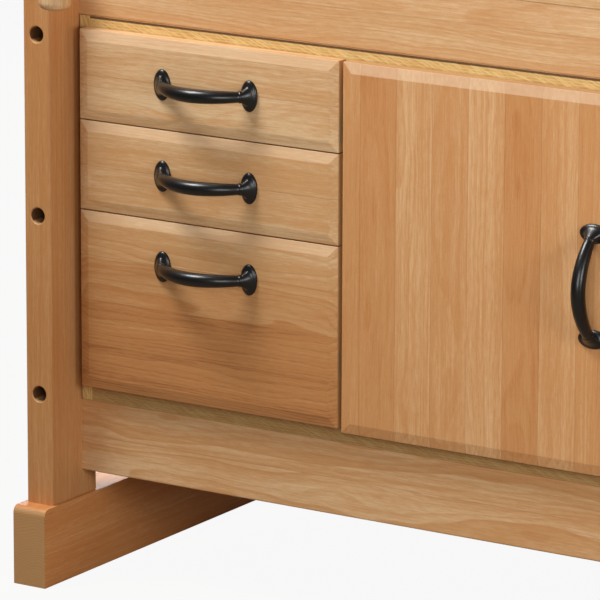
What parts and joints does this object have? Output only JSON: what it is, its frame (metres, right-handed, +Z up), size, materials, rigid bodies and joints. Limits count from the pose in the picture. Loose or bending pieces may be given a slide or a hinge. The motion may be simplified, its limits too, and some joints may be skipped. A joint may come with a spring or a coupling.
{
  "type": "cabinet workbench",
  "caption": "Beech joiner's workbench on sled feet, with front and end screw vises and a plywood cabinet of drawers and hinged doors between its leg frames.",
  "frame": {"origin": "on the floor, under the centre of the whole bench's footprint, both vises and handles included, as it stands with both vises closed", "axes": "+X to the right along the bench, towards the end vise; +Y from the front to the back; +Z up"},
  "size_m": [1.6166, 0.7164, 0.945],
  "materials": {
    "beech": "oiled, satin",
    "pale_beech": "waxed, satin",
    "plywood": "lacquered, satin",
    "black_iron": "black enamel, semi-gloss",
    "steel": "satin"
  },
  "bodies": {
    "bench": {"left_foot": "beech", "right_foot": "beech", "front_left_leg": "beech", "front_right_leg": "beech", "rear_left_leg": "beech", "rear_right_leg": "beech", "left_bearer": "beech", "right_bearer": "beech", "front_top_rail": "beech", "front_lower_rail": "beech", "rear_top_rail": "beech", "rear_lower_rail": "beech", "rail_bolts": "steel", "top_slab": "beech", "front_apron": "beech", "rear_apron": "beech", "left_end_cap": "beech", "right_end_cap": "beech", "top_pegs": "beech", "front_vise_nut_blocks": "beech", "end_vise_nut_block": "beech", "cabinet_left_side": "plywood", "cabinet_right_side": "plywood", "cabinet_top": "plywood", "cabinet_bottom": "plywood", "cabinet_partition": "plywood", "cabinet_back": "plywood", "shelf": "plywood", "shelf_pins": "steel", "drawer_runners": "beech", "hinge_arms": "steel", "hinge_pins": "steel"},
    "upper_drawer": {"upper_drawer_front": "beech", "upper_drawer_box": "plywood", "upper_drawer_pull": "black_iron"},
    "middle_drawer": {"middle_drawer_front": "beech", "middle_drawer_box": "plywood", "middle_drawer_pull": "black_iron"},
    "lower_drawer": {"lower_drawer_front": "beech", "lower_drawer_box": "plywood", "lower_drawer_pull": "black_iron"},
    "left_door_leaf": {"left_door": "beech", "left_door_pull": "black_iron"},
    "right_door_leaf": {"right_door": "beech", "right_door_pull": "black_iron"},
    "front_jaw": {"front_vise_jaw": "beech", "front_vise_flange": "black_iron", "front_vise_rods": "steel"},
    "front_screw": {"front_vise_screw": "steel"},
    "front_handle": {"front_vise_handle": "pale_beech", "front_vise_knobs": "pale_beech"},
    "end_jaw": {"end_vise_jaw": "beech", "end_vise_flange": "black_iron", "end_vise_rods": "steel"},
    "end_screw": {"end_vise_screw": "steel"},
    "end_handle": {"end_vise_handle": "pale_beech", "end_vise_knobs": "pale_beech"},
    "slab_dog_pin": {"slab_dog": "beech"},
    "jaw_dog_pin": {"jaw_dog": "beech"}
  },
  "joints": [
    {"name": "upper_slide", "type": "slide", "parent": "bench", "child": "upper_drawer", "axis": [0, -1, 0], "range_m": [0, 0.28]},
    {"name": "middle_slide", "type": "slide", "parent": "bench", "child": "middle_drawer", "axis": [0, -1, 0], "range_m": [0, 0.28]},
    {"name": "lower_slide", "type": "slide", "parent": "bench", "child": "lower_drawer", "axis": [0, -1, 0], "range_m": [0, 0.28]},
    {"name": "left_door_hinge", "type": "hinge", "parent": "bench", "child": "left_door_leaf", "pos_m": [-0.23875, -0.1905, 0.4675], "axis": [0, 0, -1], "range_deg": [0, 90]},
    {"name": "right_door_hinge", "type": "hinge", "parent": "bench", "child": "right_door_leaf", "pos_m": [0.50025, -0.1905, 0.4675], "axis": [0, 0, 1], "range_deg": [0, 90]},
    {"name": "front_jaw_slide", "type": "slide", "parent": "bench", "child": "front_jaw", "axis": [0, -1, 0], "range_m": [0, 0.16]},
    {"name": "front_screw_turn", "type": "hinge", "parent": "front_jaw", "child": "front_screw", "pos_m": [-0.55925, -0.30225, 0.84], "axis": [0, -1, 0], "range_deg": [0, 7200]},
    {"name": "front_handle_slide", "type": "slide", "parent": "front_screw", "child": "front_handle", "axis": [0, 0, 1], "range_m": [-0.046, 0.036]},
    {"name": "end_jaw_slide", "type": "slide", "parent": "bench", "child": "end_jaw", "axis": [1, 0, 0], "range_m": [0, 0.16]},
    {"name": "end_screw_turn", "type": "hinge", "parent": "end_jaw", "child": "end_screw", "pos_m": [0.75225, 0.05825, 0.84], "axis": [1, 0, 0], "range_deg": [0, 7200]},
    {"name": "end_handle_slide", "type": "slide", "parent": "end_screw", "child": "end_handle", "axis": [0, 0, 1], "range_m": [-0.046, 0.036]},
    {"name": "slab_dog_slide", "type": "slide", "parent": "bench", "child": "slab_dog_pin", "axis": [0, 0, 1], "range_m": [-0.02, 0.03]},
    {"name": "jaw_dog_slide", "type": "slide", "parent": "end_jaw", "child": "jaw_dog_pin", "axis": [0, 0, 1], "range_m": [-0.02, 0.03]}
  ],
  "couplings": [
    {"joint": "front_jaw_slide", "follows": "front_screw_turn", "m_per_rad": 0.0012732},
    {"joint": "end_jaw_slide", "follows": "end_screw_turn", "m_per_rad": 0.0012732}
  ]
}
